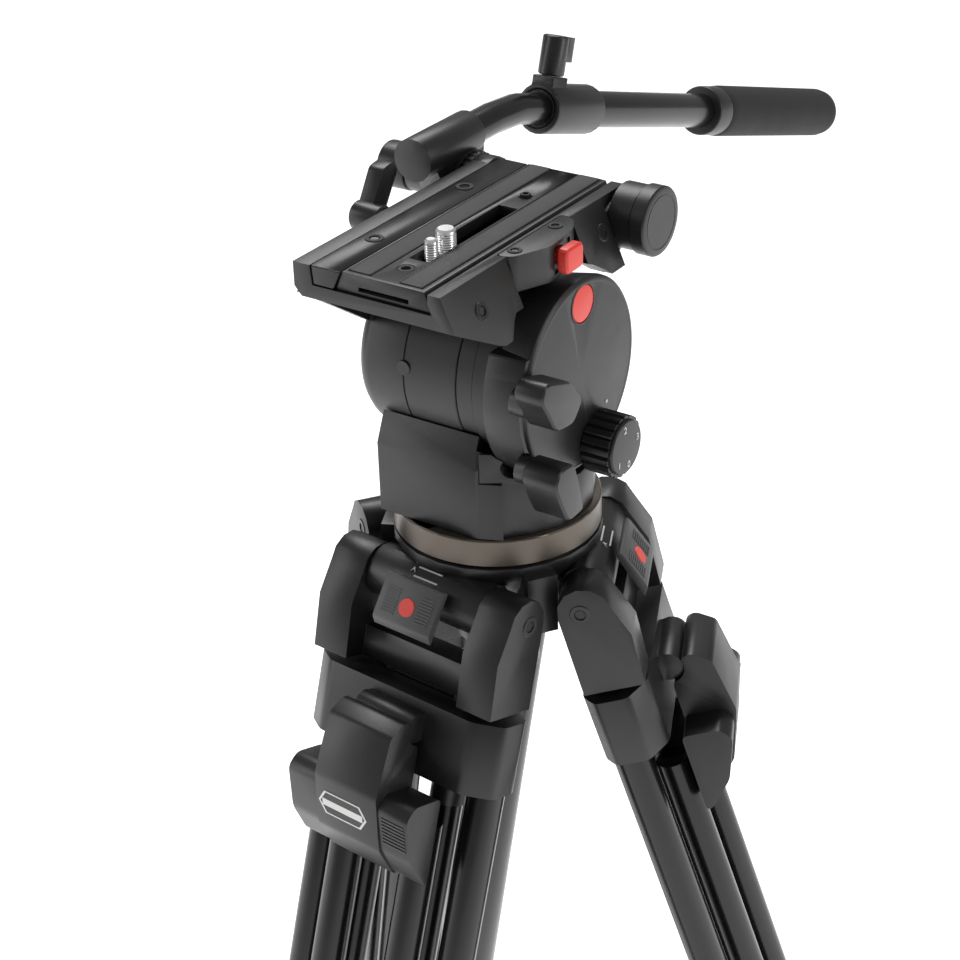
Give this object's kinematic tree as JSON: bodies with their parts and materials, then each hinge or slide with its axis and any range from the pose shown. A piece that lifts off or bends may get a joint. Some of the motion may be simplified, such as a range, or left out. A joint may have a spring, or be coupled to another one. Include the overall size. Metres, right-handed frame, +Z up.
{
  "type": "video tripod with fluid head",
  "caption": "Folding tripod with sliding twin-tube legs, a half-ball levelling bowl and a pan-and-tilt fluid head with a sliding camera plate and a pan bar.",
  "frame": {"origin": "on the floor under the middle of the object's bounding box", "axes": "+Z up, -Y towards the lens side of the head, +X towards the side of the head with the disc and locking levers"},
  "size_m": [0.459, 0.7234, 0.8076],
  "materials": {
    "cast_black": "fine textured black coat, satin",
    "ball_metal": "hard anodised, brownish grey, satin",
    "housing": "fine textured dark grey coat, satin",
    "knob_black": "moulded, satin",
    "red_plastic": "moulded, satin",
    "pad_rubber": "grained, matt",
    "chrome_screw": "polished thread",
    "tube_black": "gloss black anodised",
    "foam": "closed-cell foam, matt",
    "stop_grey": "moulded, satin",
    "lever_plastic": "moulded, fine grain",
    "foot_rubber": "matt"
  },
  "bodies": {
    "crown": {"crown_casting": "cast_black"},
    "half_ball": {"half_ball": "ball_metal"},
    "bowl_clamp": {"bowl_clamp_knob": "knob_black"},
    "pan_base": {"pan_base": "housing", "base_corner_insert": "housing", "side_housing": "housing", "round_badge": "red_plastic", "centre_band": "housing"},
    "tilt_lock": {"tilt_lock_lever": "knob_black"},
    "pan_lock": {"pan_lock_lever": "knob_black"},
    "drag_dial": {"drag_dial": "knob_black"},
    "tilt_platform": {"tilt_drum": "housing", "platform_frame": "cast_black", "clamp_rail": "cast_black", "plate_lock_housing": "housing", "rosette": "cast_black", "rosette_cap": "cast_black"},
    "plate_lock": {"plate_lock_lever": "knob_black"},
    "safety_button": {"safety_button": "red_plastic"},
    "camera_plate": {"sliding_plate": "cast_black", "pad_left": "pad_rubber", "pad_right": "pad_rubber"},
    "small_screw": {"camera_screw_small": "chrome_screw"},
    "large_screw": {"camera_screw_large": "chrome_screw"},
    "pan_bar": {"bar_bracket": "cast_black", "pan_bar_front": "tube_black"},
    "bar_clamp": {"bar_clamp_knob": "knob_black"},
    "rear_bar": {"pan_bar_rear": "tube_black", "bar_collar": "cast_black", "grip_collar": "cast_black", "foam_grip": "foam"},
    "bar_wing": {"bar_wing_knob": "knob_black"},
    "leg_1_upper": {"leg_1_yoke": "cast_black", "leg_1_upper_tubes": "tube_black"},
    "leg_1_stop": {"leg_1_selector": "stop_grey"},
    "leg_1_middle": {"leg_1_collar": "cast_black", "leg_1_outer_tubes": "tube_black"},
    "leg_1_lock": {"leg_1_lock_lever": "lever_plastic"},
    "leg_1_lower": {"leg_1_lower_tubes": "tube_black", "leg_1_foot_block": "cast_black"},
    "leg_1_shoe": {"leg_1_foot": "foot_rubber"},
    "leg_2_upper": {"leg_2_yoke": "cast_black", "leg_2_upper_tubes": "tube_black"},
    "leg_2_stop": {"leg_2_selector": "stop_grey"},
    "leg_2_middle": {"leg_2_collar": "cast_black", "leg_2_outer_tubes": "tube_black"},
    "leg_2_lock": {"leg_2_lock_lever": "lever_plastic"},
    "leg_2_lower": {"leg_2_lower_tubes": "tube_black", "leg_2_foot_block": "cast_black"},
    "leg_2_shoe": {"leg_2_foot": "foot_rubber"},
    "leg_3_upper": {"leg_3_yoke": "cast_black", "leg_3_upper_tubes": "tube_black"},
    "leg_3_stop": {"leg_3_selector": "stop_grey"},
    "leg_3_middle": {"leg_3_collar": "cast_black", "leg_3_outer_tubes": "tube_black"},
    "leg_3_lock": {"leg_3_lock_lever": "lever_plastic"},
    "leg_3_lower": {"leg_3_lower_tubes": "tube_black", "leg_3_foot_block": "cast_black"},
    "leg_3_shoe": {"leg_3_foot": "foot_rubber"}
  },
  "joints": [
    {"name": "bowl_level", "type": "hinge", "parent": "crown", "child": "half_ball", "pos_m": [-0.0061, -0.1102, 0.63623], "axis": [1, 0, 0], "range_deg": [-5, 5]},
    {"name": "bowl_clamp_turn", "type": "hinge", "parent": "half_ball", "child": "bowl_clamp", "pos_m": [-0.0061, -0.1102, 0.54823], "axis": [0, 0, 1], "range_deg": [-180, 180]},
    {"name": "pan", "type": "hinge", "parent": "half_ball", "child": "pan_base", "pos_m": [-0.0061, -0.1102, 0.63623], "axis": [0, 0, 1], "continuous": true},
    {"name": "tilt", "type": "hinge", "parent": "pan_base", "child": "tilt_platform", "pos_m": [-0.0061, -0.1102, 0.70763], "axis": [1, 0, 0], "range_deg": [-35, 60]},
    {"name": "tilt_lock_turn", "type": "hinge", "parent": "pan_base", "child": "tilt_lock", "pos_m": [0.0449, -0.1592, 0.71623], "axis": [1, 0, 0], "range_deg": [-40, 30]},
    {"name": "pan_lock_turn", "type": "hinge", "parent": "pan_base", "child": "pan_lock", "pos_m": [0.0449, -0.1562, 0.68123], "axis": [1, 0, 0], "range_deg": [-40, 30]},
    {"name": "drag_dial_turn", "type": "hinge", "parent": "pan_base", "child": "drag_dial", "pos_m": [0.0439, -0.0972, 0.66973], "axis": [1, 0, 0], "range_deg": [0, 270]},
    {"name": "plate_lock_turn", "type": "hinge", "parent": "tilt_platform", "child": "plate_lock", "pos_m": [-0.0661, -0.1222, 0.76723], "axis": [1, 0, 0], "range_deg": [-20, 70]},
    {"name": "safety_button_press", "type": "slide", "parent": "tilt_platform", "child": "safety_button", "axis": [-1, 0, 0], "range_m": [0, 0.0015], "stiffness_N_per_m": 800, "springref_m": -0.001},
    {"name": "plate_slide", "type": "slide", "parent": "tilt_platform", "child": "camera_plate", "axis": [0, 1, 0], "range_m": [-0.04, 0.04]},
    {"name": "small_screw_slide", "type": "slide", "parent": "camera_plate", "child": "small_screw", "axis": [0, 1, 0], "range_m": [-0.005, 0]},
    {"name": "large_screw_slide", "type": "slide", "parent": "camera_plate", "child": "large_screw", "axis": [0, 1, 0], "range_m": [0, 0.042]},
    {"name": "pan_bar_angle", "type": "hinge", "parent": "tilt_platform", "child": "pan_bar", "pos_m": [-0.0611, -0.0487, 0.76173], "axis": [1, 0, 0], "range_deg": [-20, 60]},
    {"name": "bar_clamp_turn", "type": "hinge", "parent": "pan_bar", "child": "bar_clamp", "pos_m": [-0.0981, -0.0487, 0.76173], "axis": [1, 0, 0], "range_deg": [-180, 180]},
    {"name": "rear_bar_slide", "type": "slide", "parent": "pan_bar", "child": "rear_bar", "axis": [0, 0.9537, -0.3007], "range_m": [0, 0.1]},
    {"name": "bar_wing_turn", "type": "hinge", "parent": "rear_bar", "child": "bar_wing", "pos_m": [-0.0681, 0.04174, 0.79435], "axis": [0, 0.3007, 0.9537], "range_deg": [-90, 90]},
    {"name": "leg_1_spread", "type": "hinge", "parent": "crown", "child": "leg_1_upper", "pos_m": [-0.01011, -0.15602, 0.60223], "axis": [-0.9962, 0.0872, 0], "range_deg": [-12, 30]},
    {"name": "leg_1_stop_pull", "type": "hinge", "parent": "leg_1_upper", "child": "leg_1_stop", "pos_m": [-0.01132, -0.1699, 0.61291], "axis": [-0.9962, 0.0872, 0], "range_deg": [0, 10], "stiffness_Nm_per_rad": 0.6},
    {"name": "leg_1_middle_slide", "type": "slide", "parent": "leg_1_upper", "child": "leg_1_middle", "axis": [-0.0262, -0.2996, -0.9537], "range_m": [0, 0.38]},
    {"name": "leg_1_lock_flip", "type": "hinge", "parent": "leg_1_middle", "child": "leg_1_lock", "pos_m": [-0.01343, -0.19395, 0.55132], "axis": [-0.9962, 0.0872, 0], "range_deg": [0, 60]},
    {"name": "leg_1_lower_slide", "type": "slide", "parent": "leg_1_middle", "child": "leg_1_lower", "axis": [-0.0262, -0.2996, -0.9537], "range_m": [0, 0.38]},
    {"name": "leg_1_shoe_swivel", "type": "hinge", "parent": "leg_1_lower", "child": "leg_1_shoe", "pos_m": [-0.02583, -0.33576, 0.03], "axis": [0.9962, -0.0872, 0], "range_deg": [-30, 30]},
    {"name": "leg_2_spread", "type": "hinge", "parent": "crown", "child": "leg_2_upper", "pos_m": [0.03559, -0.09076, 0.60223], "axis": [0.4226, -0.9063, 0], "range_deg": [-12, 30]},
    {"name": "leg_2_stop_pull", "type": "hinge", "parent": "leg_2_upper", "child": "leg_2_stop", "pos_m": [0.04822, -0.08487, 0.61291], "axis": [0.4226, -0.9063, 0], "range_deg": [0, 10], "stiffness_Nm_per_rad": 0.6},
    {"name": "leg_2_middle_slide", "type": "slide", "parent": "leg_2_upper", "child": "leg_2_middle", "axis": [0.2725, 0.1271, -0.9537], "range_m": [0, 0.38]},
    {"name": "leg_2_lock_flip", "type": "hinge", "parent": "leg_2_middle", "child": "leg_2_lock", "pos_m": [0.07009, -0.07467, 0.55132], "axis": [0.4226, -0.9063, 0], "range_deg": [0, 60]},
    {"name": "leg_2_lower_slide", "type": "slide", "parent": "leg_2_middle", "child": "leg_2_lower", "axis": [0.2725, 0.1271, -0.9537], "range_m": [0, 0.38]},
    {"name": "leg_2_shoe_swivel", "type": "hinge", "parent": "leg_2_lower", "child": "leg_2_shoe", "pos_m": [0.19911, -0.01451, 0.03], "axis": [-0.4226, 0.9063, 0], "range_deg": [-30, 30]},
    {"name": "leg_3_spread", "type": "hinge", "parent": "crown", "child": "leg_3_upper", "pos_m": [-0.04378, -0.08382, 0.60223], "axis": [0.5736, 0.8192, 0], "range_deg": [-12, 30]},
    {"name": "leg_3_stop_pull", "type": "hinge", "parent": "leg_3_upper", "child": "leg_3_stop", "pos_m": [-0.05519, -0.07582, 0.61291], "axis": [0.5736, 0.8192, 0], "range_deg": [0, 10], "stiffness_Nm_per_rad": 0.6},
    {"name": "leg_3_middle_slide", "type": "slide", "parent": "leg_3_upper", "child": "leg_3_middle", "axis": [-0.2463, 0.1725, -0.9537], "range_m": [0, 0.38]},
    {"name": "leg_3_lock_flip", "type": "hinge", "parent": "leg_3_middle", "child": "leg_3_lock", "pos_m": [-0.07497, -0.06198, 0.55132], "axis": [0.5736, 0.8192, 0], "range_deg": [0, 60]},
    {"name": "leg_3_lower_slide", "type": "slide", "parent": "leg_3_middle", "child": "leg_3_lower", "axis": [-0.2463, 0.1725, -0.9537], "range_m": [0, 0.38]},
    {"name": "leg_3_shoe_swivel", "type": "hinge", "parent": "leg_3_lower", "child": "leg_3_shoe", "pos_m": [-0.19157, 0.01967, 0.03], "axis": [-0.5736, -0.8192, 0], "range_deg": [-30, 30]}
  ]
}
